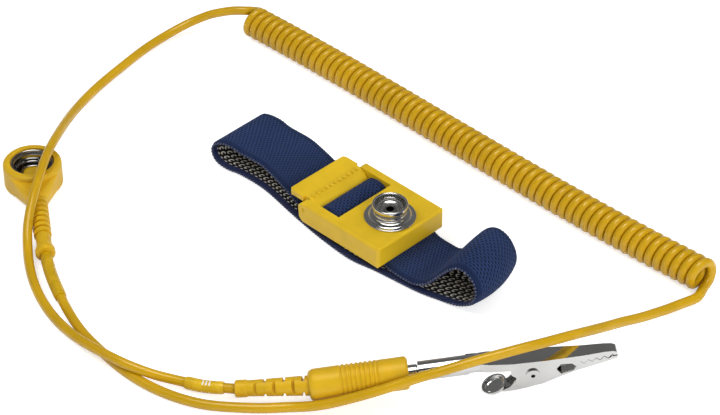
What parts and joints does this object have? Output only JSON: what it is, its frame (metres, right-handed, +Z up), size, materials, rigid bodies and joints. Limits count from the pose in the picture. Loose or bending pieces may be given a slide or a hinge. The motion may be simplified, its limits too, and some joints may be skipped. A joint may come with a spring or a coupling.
{
  "type": "anti-static wrist strap",
  "caption": "Elastic wristband with a clamping snap-stud buckle, and a coiled grounding lead with a snap socket, a banana plug and a crocodile clip.",
  "frame": {"origin": "bottom centre of the wristband with its buckle, the lead left out", "axes": "+X runs along the wristband towards the stud's end of the buckle, +Y across it away from the plug, +Z up out of the stud"},
  "size_m": [0.2031, 0.1408, 0.0169],
  "materials": {
    "navy_elastic": "knitted elastic with a light picot edge, inside face with silvery conductive thread",
    "yellow_moulding": "moulded, fine satin",
    "yellow_soft_moulding": "soft moulded PVC, satin",
    "yellow_cord": "glossy PVC cord",
    "olive_sleeve": "translucent shrink sleeve",
    "clear_sleeve": "clear shrink sleeve",
    "polished_nickel": "polished nickel plate",
    "nickel_steel": "pressed steel, nickel plated",
    "stainless_plate": "brushed",
    "spring_wire": "spring wire",
    "resistor_body": "painted ceramic body"
  },
  "bodies": {
    "wristband": {"elastic_band": "navy_elastic", "buckle_frame": "yellow_moulding", "snap_stud": "polished_nickel", "stud_eyelet": "polished_nickel", "contact_plate": "stainless_plate"},
    "clamp_lever": {"clamp_lever": "yellow_moulding"},
    "lead": {"socket_housing": "yellow_soft_moulding", "snap_socket": "polished_nickel", "socket_spring": "spring_wire", "socket_terminal": "stainless_plate", "socket_boot": "yellow_soft_moulding", "socket_sleeve": "olive_sleeve", "cord_socket_side": "yellow_cord", "cord_curly": "yellow_cord", "cord_plug_side": "yellow_cord", "value_sleeve": "clear_sleeve", "plug_boot": "yellow_soft_moulding", "plug_housing": "yellow_soft_moulding", "series_resistor": "resistor_body", "banana_pin": "polished_nickel", "pin_spring": "polished_nickel"},
    "clip_upper": {"clip_upper_jaw": "nickel_steel", "clip_rivet": "nickel_steel", "clip_spring": "spring_wire"},
    "clip_lower": {"clip_lower_jaw": "nickel_steel"}
  },
  "joints": [
    {"name": "lever_hinge", "type": "hinge", "parent": "wristband", "child": "clamp_lever", "pos_m": [-0.0089, 0, 0.0071], "axis": [0, 1, 0], "range_deg": [0, 75]},
    {"name": "lead_lift", "type": "slide", "parent": "wristband", "child": "lead", "axis": [0, 0, 1], "range_m": [0, 0.03]},
    {"name": "clip_pull", "type": "slide", "parent": "lead", "child": "clip_upper", "axis": [0.6485, 0.754, 0.1045], "range_m": [0, 0.016]},
    {"name": "jaw_hinge", "type": "hinge", "parent": "clip_upper", "child": "clip_lower", "pos_m": [0.08004, -0.0177, 0.00694], "axis": [-0.7581, 0.6521, 0], "range_deg": [0, 15], "stiffness_Nm_per_rad": 0.04, "springref_deg": -17.19}
  ]
}
